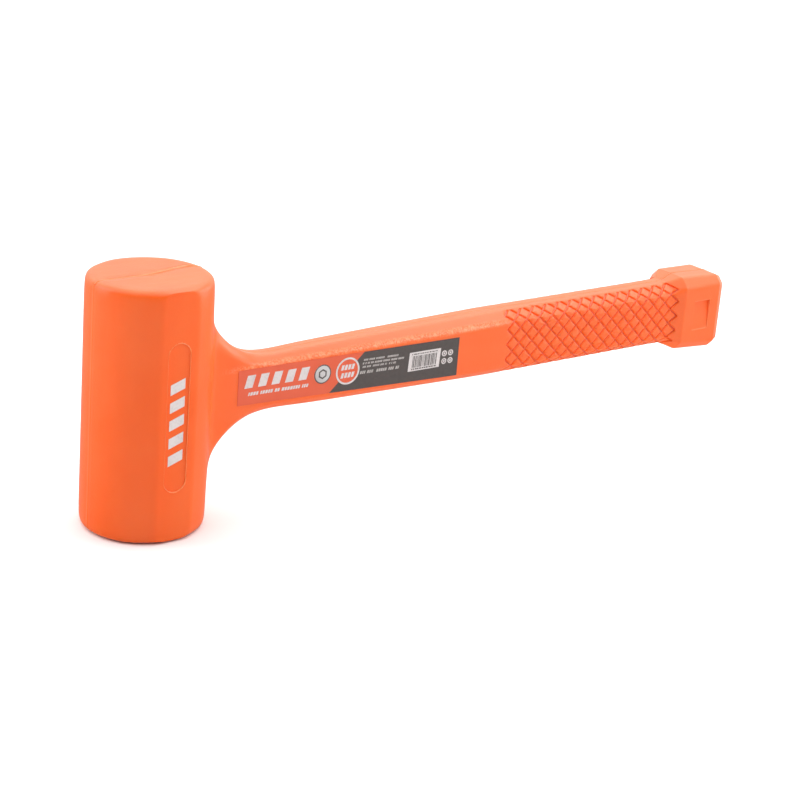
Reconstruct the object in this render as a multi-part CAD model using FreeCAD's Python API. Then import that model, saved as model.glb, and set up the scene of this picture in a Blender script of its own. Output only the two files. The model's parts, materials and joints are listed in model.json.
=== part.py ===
import FreeCAD, Part
import math
import os

# Dead blow mallet, millimetres, +Z up. The origin is the centre of the lower striking face, the head
# stands along +Z, the handle points along +X and the printed side faces -Y.
# One plastic body is moulded around a welded steel frame: a shot canister and a rod through the handle.

V = FreeCAD.Vector

# Head
HEAD_R = 22.5
HEAD_LEN = 93.0
FLAT_Y = 21.4
RIM_R = 3.2
AXIS_Z = HEAD_LEN / 2

# Pill-shaped recess on each side flat
PILL_W = 9.0
PILL_LEN = 55.0
PILL_DEPTH = 0.6

# Handle sections: half thickness in Y and half height in Z of a flat octagon with bevelled edges
NECK_Y, NECK_Z, NECK_BEVEL = 6.4, 10.9, 3.0
PALM_Y, PALM_Z = 8.5, 13.1
PALM_TOP_Y, PALM_SIDE_Z = 3.8, 9.4
FLARE_R = 29.0
FLARE_TURN = math.radians(70)
NECK_X = HEAD_R + FLARE_R
PALM_X = 150.0
FLARE_END_X = 19.0

# Butt block: its section grows a little and drops a little from the shoulder to the rear chamfer
BUTT_START_X, BUTT_FULL_X, BUTT_CHAMFER_X, BUTT_END_X = 249.0, 255.0, 274.2, 277.0
BUTT_Y, BUTT_Z = 11.0, 15.8
BUTT_TOP_Y, BUTT_SIDE_Z = 7.2, 11.8
REAR_Z, REAR_TOP_Y, REAR_SIDE_Z, REAR_DROP = 16.0, 7.96, 12.8, 0.8
END_Y, END_Z, END_TOP_Y, END_SIDE_Z = 9.5, 14.6, 6.9, 11.86
POCKET_X, POCKET_Z, POCKET_LEN_X, POCKET_LEN_Z = 265.0, -0.75, 8.9, 12.5
POCKET_DEPTH_TOP, POCKET_DEPTH_LOW = 1.4, 0.15

# Diamond grip: engraved lines on the two side faces
GRIP_START_X, GRIP_PITCH_X, GRIP_PITCH_Z = 159.5, 6.6, 6.27
GRIP_COLUMNS = 14
GROOVE_W, GROOVE_DEPTH = 1.0, 0.6

# Shot canister
CAN_R, CAN_WALL = 18.0, 2.0
CAN_Z0, CAN_Z1 = 9.0, 84.0
CAP_THICK, CAP_SKIRT = 1.5, 5.0
WELD_R = 1.3

# Loose shot
BALL_R = 2.25
BALL_PITCH = 2 * BALL_R + 0.05
BALL_LAYERS = 12
BALL_LIFT = 0.05

# Handle core rod
CORE_R = 4.5
CORE_END_X = 262.0
KEY_DEPTH, KEY_W, KEY_PITCH, KEY_COUNT = 0.8, 3.0, 7.0, 4
CORE_WELD_R, CORE_WELD_X = 8.0, 20.5

# Printed film label and head print
LABEL_X0, LABEL_X1, LABEL_THICK = 34.5, 135.0, 0.15
LABEL_LOW_X0, LABEL_HIGH_X0 = -6.1, 7.3
LABEL_LOW_X1, LABEL_HIGH_X1 = -8.9, 6.6
PRINT_THICK, PRINT_BARS, PRINT_PITCH = 0.08, 5, 6.6
PRINT_W, PRINT_BAR, PRINT_SLANT, PRINT_Z = 5.8, 3.8, 2.0, -1.6


def polygon(points):
    return Part.makePolygon(list(points) + [points[0]])


def prism(points, direction):
    return Part.Face(polygon(points)).extrude(direction)


def octagon(x, half_y, half_z, top_y, side_z, drop=0):
    """Closed wire of the flat octagonal handle section at station x, lowered by drop."""
    corners = [(top_y, half_z), (half_y, side_z), (half_y, -side_z), (top_y, -half_z),
               (-top_y, -half_z), (-half_y, -side_z), (-half_y, side_z), (-top_y, half_z)]
    return polygon([V(x, y, AXIS_Z + z - drop) for y, z in corners])


def loft(*sections):
    return Part.makeLoft(list(sections), True, True)


def head():
    """Cylinder with two side flats and rounded rims."""
    cylinder = Part.makeCylinder(HEAD_R, HEAD_LEN)
    rims = [e for e in cylinder.Edges if isinstance(e.Curve, Part.Circle)]
    rounded = cylinder.makeFillet(RIM_R, rims)
    slab = Part.makeBox(4 * HEAD_R, 2 * FLAT_Y, HEAD_LEN, V(-2 * HEAD_R, -FLAT_Y, 0))
    return rounded.common(slab)


def flare_edges(sign):
    """Arc that spreads the neck towards the head, then a straight run that enters the head."""
    z0 = AXIS_Z + sign * NECK_Z

    def on_arc(turn):
        return V(NECK_X - FLARE_R * math.sin(turn), 0, z0 + sign * FLARE_R * (1 - math.cos(turn)))

    start, middle, end = on_arc(0), on_arc(FLARE_TURN / 2), on_arc(FLARE_TURN)
    run = (end.x - FLARE_END_X) * math.tan(FLARE_TURN)
    inner = V(FLARE_END_X, 0, end.z + sign * run)
    return [Part.Arc(start, middle, end).toShape(), Part.makeLine(end, inner)], start, inner


def neck():
    """Plate between handle and head with curved upper and lower edges, bevelled like the handle."""
    upper, upper_start, upper_inner = flare_edges(1)
    lower, lower_start, lower_inner = flare_edges(-1)
    inside_up, inside_low = V(0, 0, upper_inner.z), V(0, 0, lower_inner.z)
    sides = [Part.makeLine(upper_inner, inside_up), Part.makeLine(inside_up, inside_low),
             Part.makeLine(inside_low, lower_inner), Part.makeLine(lower_start, upper_start)]
    outline = Part.Wire(Part.__sortEdges__(upper + lower + sides))
    plate = Part.Face(outline).extrude(V(0, 2 * NECK_Y, 0))
    plate.translate(V(0, -NECK_Y, 0))
    bevelled = []
    for edge in plate.Edges:
        box = edge.BoundBox
        along_flare = box.YLength < 1e-6 and box.XLength > 1 and box.ZLength > 1
        if along_flare:
            bevelled.append(edge)
    return plate.makeChamfer(NECK_BEVEL, bevelled)


def handle():
    """Flat octagonal handle that widens from the neck to the palm, then runs straight to the butt."""
    neck_section = octagon(NECK_X, NECK_Y, NECK_Z, NECK_Y - NECK_BEVEL, NECK_Z - NECK_BEVEL)
    palm = octagon(PALM_X, PALM_Y, PALM_Z, PALM_TOP_Y, PALM_SIDE_Z)
    last = octagon(BUTT_FULL_X + 1, PALM_Y, PALM_Z, PALM_TOP_Y, PALM_SIDE_Z)
    return loft(neck_section, palm).fuse(loft(palm, last))


def butt():
    """Larger block that stops the hand, with a sloped shoulder and a chamfered end."""
    shoulder = octagon(BUTT_START_X, PALM_Y, PALM_Z, PALM_TOP_Y, PALM_SIDE_Z)
    full = octagon(BUTT_FULL_X, BUTT_Y, BUTT_Z, BUTT_TOP_Y, BUTT_SIDE_Z)
    rear = octagon(BUTT_CHAMFER_X, BUTT_Y, REAR_Z, REAR_TOP_Y, REAR_SIDE_Z, REAR_DROP)
    end = octagon(BUTT_END_X, END_Y, END_Z, END_TOP_Y, END_SIDE_Z, REAR_DROP)
    return loft(shoulder, full).fuse([loft(full, rear), loft(rear, end)])


def pill_recess(side):
    """Shallow recess with round ends, cut into one side flat of the head."""
    half = PILL_LEN / 2 - PILL_W / 2
    start = side * (FLAT_Y - PILL_DEPTH)
    bar = Part.makeBox(PILL_W, 2, 2 * half, V(-PILL_W / 2, min(start, start + 2 * side), AXIS_Z - half))
    ends = [Part.makeCylinder(PILL_W / 2, 2, V(0, start, AXIS_Z + dz), V(0, side, 0)) for dz in (-half, half)]
    return bar.fuse(ends)


def butt_pocket(side):
    """Rectangular pocket in the butt whose floor slopes from deep at the top to shallow below."""
    high, low = AXIS_Z + POCKET_Z + POCKET_LEN_Z / 2, AXIS_Z + POCKET_Z - POCKET_LEN_Z / 2
    x0 = POCKET_X - POCKET_LEN_X / 2
    outline = [V(x0, side * (BUTT_Y - POCKET_DEPTH_TOP), high), V(x0, side * (BUTT_Y + 1), high),
               V(x0, side * (BUTT_Y + 1), low), V(x0, side * (BUTT_Y - POCKET_DEPTH_LOW), low)]
    return prism(outline, V(POCKET_LEN_X, 0, 0))


def groove(x, z, direction, side):
    """One engraved bar of the grip, centred on (x, z): one side of a diamond."""
    length = math.hypot(GRIP_PITCH_X, GRIP_PITCH_Z) / 2 + GROOVE_W * 0.9
    bar = Part.makeBox(length, GROOVE_DEPTH + 1, GROOVE_W, V(-length / 2, -1, -GROOVE_W / 2))
    turn = -direction * math.degrees(math.atan2(GRIP_PITCH_Z, GRIP_PITCH_X))
    bar.rotate(V(0, 0, 0), V(0, 1, 0), turn)
    bar.translate(V(x, -PALM_Y, AXIS_Z + z))
    if side > 0:
        bar = bar.mirror(V(0, 0, 0), V(0, 1, 0))
    return bar


def grip_grooves(side):
    """Sides of every diamond in three rows, joined into one tool."""
    bars = []
    for row in range(-1, 2):
        for column in range(GRIP_COLUMNS):
            x = GRIP_START_X + (column + 0.5) * GRIP_PITCH_X
            z = row * GRIP_PITCH_Z
            for dx, dz in ((-1, 1), (1, 1), (-1, -1), (1, -1)):
                bars.append(groove(x + dx * GRIP_PITCH_X / 4, z + dz * GRIP_PITCH_Z / 4, -dx * dz, side))
    return bars[0].fuse(bars[1:])


def canister_tube():
    outer = Part.makeCylinder(CAN_R, CAN_Z1 - CAN_Z0, V(0, 0, CAN_Z0))
    bore = Part.makeCylinder(CAN_R - CAN_WALL, CAN_Z1 - CAN_Z0, V(0, 0, CAN_Z0))
    return outer.cut(bore)


def canister_cap(end_z, inward):
    """Pressed cup set into the tube's end, its mouth flush with the tube and facing outwards."""
    radius = CAN_R - CAN_WALL
    axis = V(0, 0, inward)
    cup = Part.makeCylinder(radius, CAP_SKIRT, V(0, 0, end_z), axis)
    hollow = Part.makeCylinder(radius - CAP_THICK, CAP_SKIRT - CAP_THICK, V(0, 0, end_z), axis)
    return cup.cut(hollow)


def cap_weld(end_z, outward):
    """Half-round bead over the seam between cup and tube."""
    bead = Part.makeTorus(CAN_R - CAN_WALL, WELD_R, V(0, 0, end_z))
    keep_low = end_z if outward > 0 else end_z - 2 * WELD_R
    keep = Part.makeBox(4 * CAN_R, 4 * CAN_R, 2 * WELD_R, V(-2 * CAN_R, -2 * CAN_R, keep_low))
    return bead.common(keep)


def shot_charge():
    """Loose balls in close-packed layers on the lower cup."""
    reach = CAN_R - CAN_WALL - BALL_R - 0.04
    floor_z = CAN_Z0 + CAP_SKIRT + BALL_R + BALL_LIFT
    balls = []
    for layer in range(BALL_LAYERS):
        z = floor_z + layer * BALL_PITCH * math.sqrt(2 / 3)
        shift_x = (layer % 2) * BALL_PITCH / 2
        shift_y = (layer % 2) * BALL_PITCH / math.sqrt(12)
        for i in range(-5, 6):
            for j in range(-5, 6):
                x = shift_x + BALL_PITCH * (i + j / 2)
                y = shift_y + BALL_PITCH * j * math.sqrt(0.75)
                if math.hypot(x, y) <= reach:
                    balls.append(Part.makeSphere(BALL_R, V(x, y, z)))
    return Part.makeCompound(balls)


def handle_core():
    """Steel rod from the canister to the butt, coped round the tube and grooved near its far end."""
    rod = Part.makeCylinder(CORE_R, CORE_END_X, V(0, 0, AXIS_Z), V(1, 0, 0))
    rod = rod.cut(Part.makeCylinder(CAN_R, HEAD_LEN))
    for index in range(KEY_COUNT):
        x = CORE_END_X - KEY_PITCH * (index + 1)
        ring = Part.makeCylinder(CORE_R + 1, KEY_W, V(x, 0, AXIS_Z), V(1, 0, 0))
        waist = Part.makeCylinder(CORE_R - KEY_DEPTH, KEY_W, V(x, 0, AXIS_Z), V(1, 0, 0))
        rod = rod.cut(ring.cut(waist))
    return rod


def core_weld():
    """Saddle bead round the rod where it meets the canister."""
    start = CAN_R - 4.0
    spread = CORE_WELD_R + 2.0
    bead = Part.makeCone(spread, CORE_R, CORE_WELD_X - start + 0.5, V(start, 0, AXIS_Z), V(1, 0, 0))
    bead = bead.cut(Part.makeCylinder(CAN_R, HEAD_LEN))
    return bead.cut(Part.makeCylinder(CORE_R, CORE_END_X, V(0, 0, AXIS_Z), V(1, 0, 0)))


def steel_frame_outside():
    """Everything that the plastic is moulded around, as one closed shape."""
    can = Part.makeCylinder(CAN_R, CAN_Z1 - CAN_Z0, V(0, 0, CAN_Z0))
    depth = CAP_SKIRT - CAP_THICK
    radius = CAN_R - CAN_WALL - CAP_THICK
    for end_z, inward in ((CAN_Z0, 1), (CAN_Z1, -1)):
        can = can.cut(Part.makeCylinder(radius, depth, V(0, 0, end_z), V(0, 0, inward)))
    return can.fuse([handle_core(), core_weld(), cap_weld(CAN_Z0, -1), cap_weld(CAN_Z1, 1)])


def moulded_body():
    """The plastic body: head, neck, handle and butt in one piece, moulded around the steel frame."""
    body = head().fuse([neck(), handle(), butt()]).removeSplitter()
    body = body.cut([pill_recess(-1), pill_recess(1), butt_pocket(-1), butt_pocket(1)])
    body = body.cut([grip_grooves(-1), grip_grooves(1)])
    return body.cut(steel_frame_outside())


def side_y(x):
    """Half thickness of the handle at station x, between neck and palm."""
    if x <= NECK_X:
        return NECK_Y
    return NECK_Y + (PALM_Y - NECK_Y) * (x - NECK_X) / (PALM_X - NECK_X)


def handle_label():
    """Thin film that follows the handle's side, cut to a shape that widens with the handle."""
    outline = [V(LABEL_X0, -20, AXIS_Z + LABEL_LOW_X0), V(LABEL_X1, -20, AXIS_Z + LABEL_LOW_X1),
               V(LABEL_X1, -20, AXIS_Z + LABEL_HIGH_X1), V(LABEL_X0, -20, AXIS_Z + LABEL_HIGH_X0)]
    cutter = prism(outline, V(0, 20, 0))
    stations = (LABEL_X0 - 1, NECK_X, LABEL_X1 + 1)
    inner = [V(x, -side_y(x), 0) for x in stations]
    outer = [V(x, -side_y(x) - LABEL_THICK, 0) for x in reversed(stations)]
    return prism(inner + outer, V(0, 0, HEAD_LEN)).common(cutter)


def head_print():
    """Row of slanted bars printed on the floor of the pill recess."""
    floor_y = -(FLAT_Y - PILL_DEPTH)
    bars = []
    for index in range(PRINT_BARS):
        z = AXIS_Z + PRINT_Z + (index - (PRINT_BARS - 1) / 2) * PRINT_PITCH
        low, high = z - PRINT_BAR / 2, z + PRINT_BAR / 2
        left, right = -PRINT_W / 2, PRINT_W / 2
        outline = [V(left, floor_y, low - PRINT_SLANT / 2), V(right, floor_y, low + PRINT_SLANT / 2),
                   V(right, floor_y, high + PRINT_SLANT / 2), V(left, floor_y, high - PRINT_SLANT / 2)]
        bars.append(prism(outline, V(0, -PRINT_THICK, 0)))
    return Part.makeCompound(bars)


def build_all():
    nodes = {
        "moulded_body": moulded_body(),
        "canister_tube": canister_tube(),
        "canister_cap_lower": canister_cap(CAN_Z0, 1),
        "canister_cap_upper": canister_cap(CAN_Z1, -1),
        "cap_weld_lower": cap_weld(CAN_Z0, -1),
        "cap_weld_upper": cap_weld(CAN_Z1, 1),
        "shot_charge": shot_charge(),
        "handle_core": handle_core(),
        "core_weld": core_weld(),
        "handle_label": handle_label(),
        "head_print": head_print(),
    }
    os.makedirs("parts", exist_ok=True)
    for name, shape in nodes.items():
        shape.exportStep("parts/" + name + ".step")
        print(name, len(shape.Solids), "solids", round(shape.Volume), "mm3", "valid", shape.isValid())


build_all()
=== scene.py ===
# %% [markdown]
# # Dead blow mallet
# A dead blow mallet is a plastic body moulded in one shot around a welded steel can of loose shot and a
# steel handle core. The CAD frame holds that structure and its sizes. This lesson builds the looks around
# it: the moulded skin with its flared neck, engraved grip and mould seam, the printed label, the shot, and
# a finish for every piece. The frame is loaded first, because every size below is read from it.

# %% Load the frame
import json
import math
import random

import bmesh
import bpy
from mathutils import Matrix, Vector, noise

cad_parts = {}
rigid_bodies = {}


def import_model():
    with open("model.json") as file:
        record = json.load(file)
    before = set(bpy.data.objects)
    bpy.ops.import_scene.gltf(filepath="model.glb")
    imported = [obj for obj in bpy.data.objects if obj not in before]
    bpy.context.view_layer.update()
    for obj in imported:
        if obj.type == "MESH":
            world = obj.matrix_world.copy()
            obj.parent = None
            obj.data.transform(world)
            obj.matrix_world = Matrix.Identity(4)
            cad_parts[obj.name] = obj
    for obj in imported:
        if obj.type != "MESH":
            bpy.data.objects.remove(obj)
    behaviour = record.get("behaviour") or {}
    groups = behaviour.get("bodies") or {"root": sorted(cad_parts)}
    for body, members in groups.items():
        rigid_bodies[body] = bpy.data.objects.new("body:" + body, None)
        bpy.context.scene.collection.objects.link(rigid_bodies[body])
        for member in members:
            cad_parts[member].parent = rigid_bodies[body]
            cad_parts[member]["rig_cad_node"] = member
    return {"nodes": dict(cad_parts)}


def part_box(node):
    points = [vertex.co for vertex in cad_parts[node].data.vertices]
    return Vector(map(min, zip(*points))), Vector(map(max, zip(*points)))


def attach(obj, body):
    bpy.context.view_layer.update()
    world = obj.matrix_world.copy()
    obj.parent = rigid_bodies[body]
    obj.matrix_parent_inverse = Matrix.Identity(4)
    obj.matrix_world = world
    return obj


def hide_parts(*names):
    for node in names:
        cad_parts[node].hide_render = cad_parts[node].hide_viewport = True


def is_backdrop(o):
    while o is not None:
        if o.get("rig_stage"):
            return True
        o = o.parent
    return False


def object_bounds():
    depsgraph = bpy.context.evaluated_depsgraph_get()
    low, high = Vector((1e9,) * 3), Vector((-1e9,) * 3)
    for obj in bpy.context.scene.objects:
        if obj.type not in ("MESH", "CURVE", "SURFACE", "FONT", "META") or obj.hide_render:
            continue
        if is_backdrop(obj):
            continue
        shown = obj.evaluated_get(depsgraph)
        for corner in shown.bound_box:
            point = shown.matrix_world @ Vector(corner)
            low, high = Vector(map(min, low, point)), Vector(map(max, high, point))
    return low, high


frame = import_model()
bpy.context.view_layer.update()
cad_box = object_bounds()
MM = 0.001
print("CAD box in mm:", [[round(c / MM, 1) for c in corner] for corner in cad_box])

# %% [markdown]
# ## Driving sizes
# The skin is modelled in millimetres and scaled to metres at the very end, so that the numbers read like a
# drawing. The head's radius, length and flats and the overall length come from the frame's body. The
# handle's sections are a flat octagon: half thickness, half width of its narrow top, half height of its
# flat side, half height of the whole, and how far the section hangs below the handle's axis. The head's
# flats lie a lip's height inside the CAD's, so that the raised lips on them stay inside its box.

# %% Driving sizes
low, high = (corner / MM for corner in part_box("moulded_body"))
HEAD_R, FLAT_Y, HEAD_LEN, END_X = -low.x, high.y, high.z, high.x
AXIS_Z = HEAD_LEN / 2
LIP_HIGH = 0.12
FLAT_SKIN = FLAT_Y - LIP_HIGH
FLARE_R = 29.0
NECK_X = HEAD_R + FLARE_R
PALM_X = 150.0
NECK = (6.4, 3.4, 7.9, 10.9, 0.0)
PALM = (8.5, 3.8, 9.4, 13.1, 0.0)
BUTT = (11.0, 7.2, 11.8, 15.8, 0.0)
REAR = (11.0, 7.96, 12.8, 16.0, 0.8)
END = (9.8, 7.1, 12.1, 14.9, 0.8)
print("head radius", round(HEAD_R, 2), "length", round(HEAD_LEN, 2), "overall end", round(END_X, 2))

# %% [markdown]
# ## The head's cage
# The head is a round bar with two long flats. It could be a cylinder with boolean cuts, but the neck has to
# grow out of it in one soft sweep, and that is what a subdivision surface does well. So the head starts as
# a ring of 16 corners that is extruded upwards row by row. A smoothed polygon shrinks inside its corners,
# so the corners of the round part stand out by a known factor, and the corners of the flats stay on it.
# The flats run up to just below each end, and the end faces are full circles.
# Every corner remembers its number round the ring in a layer, which extruding copies.

# %% The head's cage
COLUMNS = 16
FLAT_TURN = math.asin(FLAT_SKIN / HEAD_R)
STEP = FLAT_TURN / 3
STAND_OUT = 6 / (4 + 2 * math.cos(STEP))
BESIDE_FLAT = (6 - (1 + STAND_OUT) * math.cos(STEP)) / 4


def column_point(number, z, shrink=0.0):
    """Corner of the head's cage: 0 points along the handle, 3 to 5 are one flat and 11 to 13 the other."""
    k = number if number <= COLUMNS // 2 else number - COLUMNS
    side = 1 if k >= 0 else -1
    k = abs(k)
    radius = HEAD_R - shrink
    if k in (3, 4, 5):
        round_y = radius * (1 if k == 4 else math.sin(FLAT_TURN))
        y = FLAT_SKIN if radius > FLAT_SKIN else round_y
        x = 0 if k == 4 else math.sqrt(radius ** 2 - y ** 2)
        return Vector((x * (4 - k), side * y, z))
    angle = STEP * k if k < 4 else math.pi - STEP * (8 - k)
    radius *= BESIDE_FLAT if k in (2, 6) else STAND_OUT
    return Vector((radius * math.cos(angle), side * radius * math.sin(angle), z))


def loop_of(corners):
    """Edges that join two of these corners, in a steady order."""
    chosen = set(corners)
    edges = dict.fromkeys(e for v in corners for e in v.link_edges)
    return [e for e in edges if e.verts[0] in chosen and e.verts[1] in chosen]


def grow(bm, loop, place):
    """Extrudes an edge loop once and puts each new corner where place(number) says."""
    grown = bmesh.ops.extrude_edge_only(bm, edges=loop)["geom"]
    corners = [g for g in grown if isinstance(g, bmesh.types.BMVert)]
    number = bm.verts.layers.int["number"]
    for v in corners:
        v.co = place(v[number])
    return loop_of(corners)


def first_loop(bm, count, place):
    """A closed ring of numbered corners."""
    number = bm.verts.layers.int.get("number") or bm.verts.layers.int.new("number")
    ring = bmesh.ops.create_circle(bm, segments=count, radius=1)["verts"]
    for i, v in enumerate(ring):
        v[number] = i
        v.co = place(i)
    return loop_of(ring)


RIM_ROW = 3.0
END_RINGS = ((0.62, 0.5), (-0.07, 2.8), (0.06, 6.0), (0.22, 11.0))


def head_cage(bm, rows):
    """Wall rows from the lowest up, then both ends: two rings round the rim and two that dish the face.

    Each end ring has a depth below the face and a distance in from the wall.
    """
    base = first_loop(bm, COLUMNS, lambda k: column_point(k, rows[0]))
    top = base
    for z in rows[1:]:
        top = grow(bm, top, lambda k: column_point(k, z))
    for ring, face_z, inward in ((base, 0.0, 1), (top, HEAD_LEN, -1)):
        for depth, shrink in END_RINGS:
            ring = grow(bm, ring, lambda k: column_point(k, face_z + inward * depth, shrink))
        bmesh.ops.edgeloop_fill(bm, edges=ring)


NECK_ROWS = (-32.0, -22.0, -7.5, 7.5, 22.0, 32.0)
cage = bmesh.new()
head_cage(cage, [RIM_ROW] + [AXIS_Z + row for row in NECK_ROWS] + [HEAD_LEN - RIM_ROW])
print("head cage:", len(cage.verts), "corners,", len(cage.faces), "faces")

# %% [markdown]
# ## The handle's cage and the neck
# The handle is the same idea turned on its side: a ring of 14 corners, extruded station by station from the
# neck to the butt. Two stations close together make a tight edge and two far apart make a long soft run.
# The neck is then only a hole in the head's wall with as many corners as the handle's ring, bridged to it:
# the subdivision turns the bridge into the wide flare that spreads the load of each blow.

# %% The handle's cage and the neck
HELD = 0.36
FLARE_TURNS = (58, 39, 19.5)
FLARE_Z = NECK[3] + FLARE_R
FLARE_STAND_OUT, NECK_STAND_OUT, ROOT_SPREAD = 1.045, 1.02, 1.06


def ring_point(number, x, section):
    """Corner of the flat octagon: 0 is the middle of the top, 7 the middle of the underside."""
    thick, narrow, side, tall, drop = section
    quarter = [(0, tall), (narrow, tall), (thick, side), (thick, side * HELD)]
    lower = [(y, -z) for y, z in reversed(quarter)]
    right = quarter + lower
    points = right + [(-y, z) for y, z in reversed(right[1:-1])]
    y, z = points[number]
    return Vector((x, y, AXIS_Z + z - drop))


def flare_point(number, degrees):
    """The neck's corner after it has swept round the flare's centre, which lies above and below it.

    The curve is hollow, so its corners stand out from its centre by a little more than its radius.
    """
    turn = math.radians(degrees)
    neck = ring_point(number, NECK_X, NECK)
    rise = abs(neck.z - AXIS_Z)
    held = abs(rise - NECK[2] * HELD) < 0.01
    radius = FLARE_Z - (NECK[2] if held else rise)
    radius *= FLARE_STAND_OUT if degrees else NECK_STAND_OUT
    climb = (FLARE_Z - radius * math.cos(turn)) * (HELD if held else 1)
    spread = ROOT_SPREAD if degrees == FLARE_TURNS[0] else 1
    z = AXIS_Z + math.copysign(climb, neck.z - AXIS_Z)
    return Vector((NECK_X - radius * math.sin(turn), neck.y * spread, z))


def blend(a, b, t):
    """A section between two others."""
    return tuple(p + (q - p) * t for p, q in zip(a, b))


def palm_section(x):
    """The handle swells evenly from the neck to the palm, and stays the same to the butt."""
    return blend(NECK, PALM, min(max((x - NECK_X) / (PALM_X - NECK_X), 0), 1))


SHOULDER_X, CHAMFER_X = 255.0, END_X - 2.8
TIP_SHRINK = 0.15


def butt_section(x):
    """The butt grows a little towards its rear chamfer."""
    return blend(BUTT, REAR, (x - SHOULDER_X) / (CHAMFER_X - SHOULDER_X))


STATIONS = [(x, palm_section(x)) for x in (64.0, 85.0, 115.0, 147.0, 156.0, 200.0, 246.5)]
STATIONS += [
    (249.2, (8.55, 3.9, 9.5, 13.25, 0.0)),
    (250.4, (8.8, 4.3, 9.9, 13.8, 0.0)),
    (254.3, (10.7, 6.9, 11.5, 15.45, 0.0)),
    (SHOULDER_X, BUTT),
    (256.8, butt_section(256.8)),
    (264.0, butt_section(264.0)),
    (CHAMFER_X - 2.2, butt_section(CHAMFER_X - 2.2)),
    (CHAMFER_X, REAR),
    (CHAMFER_X + 0.7, blend(REAR, END, 0.25)),
    (END_X - 0.4, blend(REAR, END, 0.9)),
    (END_X, END),
]

tip = first_loop(cage, 14, lambda k: flare_point(k, FLARE_TURNS[0]))
for degrees in FLARE_TURNS[1:] + (0,):
    tip = grow(cage, tip, lambda k: flare_point(k, degrees))
for x, section in STATIONS:
    tip = grow(cage, tip, lambda k: ring_point(k, x, section))
tip = grow(cage, tip, lambda k: ring_point(k, END_X, blend(END, (0, 0, 0, 0, END[4]), TIP_SHRINK)))
bmesh.ops.edgeloop_fill(cage, edges=tip)

behind_neck = []
for face in cage.faces:
    centre = face.calc_center_median()
    within = abs(math.atan2(centre.y, centre.x)) < STEP and abs(centre.z - AXIS_Z) < NECK_ROWS[-1]
    if within and HEAD_R / 2 < centre.x < HEAD_R + 1:
        behind_neck.append(face)
bmesh.ops.delete(cage, geom=behind_neck, context="FACES")
open_edges = [e for e in cage.edges if e.is_boundary]
bmesh.ops.bridge_loops(cage, edges=open_edges)
bmesh.ops.recalc_face_normals(cage, faces=cage.faces)
print("neck hole:", len(behind_neck), "faces out,", len(open_edges), "edges bridged")

# %% [markdown]
# ## Which edges stay crisp
# Moulded plastic has no sharp edge, but the flats' edges and the handle's eight long edges are clearly
# tighter than the rest. A crease below 1 keeps an edge sharp for the first rounds of subdivision and lets
# the last rounds round it off. In the neck the creases are weaker, so the bevels melt into the flare. On
# the butt they are stronger, and rings of creases keep its shoulder and its rear chamfer crisp.

# %% Crease the long edges and subdivide
CORNER_NUMBERS = {1, 2, 5, 6, 8, 9, 12, 13}
FOLD_NUMBERS = {2, 5, 9, 12}
FLARE_CREASES = ((30.0, 0.26), (40.0, 0.3))
EDGE_CREASE, FOLD_CREASE, BUTT_CREASE = 0.44, 0.34, 0.52
FLAT_CREASE, FLAT_END_CREASE = 0.6, 0.66
FLAT_NUMBERS = {3, 5, 11, 13}
RING_CREASE = {SHOULDER_X: 0.38, CHAMFER_X: 0.46, END_X: 0.44}
LEVELS = 3


def along_crease(x, number):
    """Crease of the handle's long edges: soft in the flare, firm along the handle, crisp on the butt."""
    for limit, crease in FLARE_CREASES:
        if x < limit:
            return crease
    if x > SHOULDER_X - 1:
        return BUTT_CREASE
    return FOLD_CREASE if number in FOLD_NUMBERS else EDGE_CREASE


def crease_of(a, b, number):
    """Crease of the edge between corners a and b, from where it lies and what it joins."""
    nearest = min(a.co.x, b.co.x)
    same_x = abs(a.co.x - b.co.x) < 0.01
    on_flat = all(abs(abs(v.co.y) - FLAT_SKIN) < 0.01 for v in (a, b))
    if nearest > HEAD_R and a[number] == b[number] and a[number] in CORNER_NUMBERS:
        return along_crease(nearest, a[number])
    if nearest > HEAD_R and same_x:
        return max((crease for x, crease in RING_CREASE.items() if abs(x - nearest) < 0.01), default=0)
    if nearest < HEAD_R and on_flat and a[number] == b[number] and a[number] in FLAT_NUMBERS:
        return FLAT_CREASE
    nearest_end = max(min(v.co.z, HEAD_LEN - v.co.z) for v in (a, b))
    return FLAT_END_CREASE if on_flat and nearest_end < 1 else 0


def crease_cage(bm):
    """Gives every edge of the cage its crease."""
    crease = bm.edges.layers.float.get("crease_edge") or bm.edges.layers.float.new("crease_edge")
    number = bm.verts.layers.int["number"]
    for edge in bm.edges:
        edge[crease] = crease_of(*edge.verts, number)


def add_object(name, data):
    """A new object in the scene."""
    made = bpy.data.objects.new(name, data)
    bpy.context.scene.collection.objects.link(made)
    return made


def smoothed(bm, levels):
    """The cage after Catmull-Clark subdivision, as a new bmesh."""
    mesh = bpy.data.meshes.new("cage")
    bm.to_mesh(mesh)
    bm.free()
    holder = add_object("cage", mesh)
    modifier = holder.modifiers.new("smooth", "SUBSURF")
    modifier.levels = modifier.render_levels = levels
    shaped = holder.evaluated_get(bpy.context.evaluated_depsgraph_get())
    fine = bpy.data.meshes.new_from_object(shaped)
    result = bmesh.new()
    result.from_mesh(fine)
    bpy.data.objects.remove(holder)
    bpy.data.meshes.remove(mesh)
    bpy.data.meshes.remove(fine)
    return result


crease_cage(cage)
skin = smoothed(cage, LEVELS)
skin.verts.layers.int.remove(skin.verts.layers.int["number"])
print("smooth skin:", len(skin.verts), "corners,", len(skin.faces), "faces")
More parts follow.
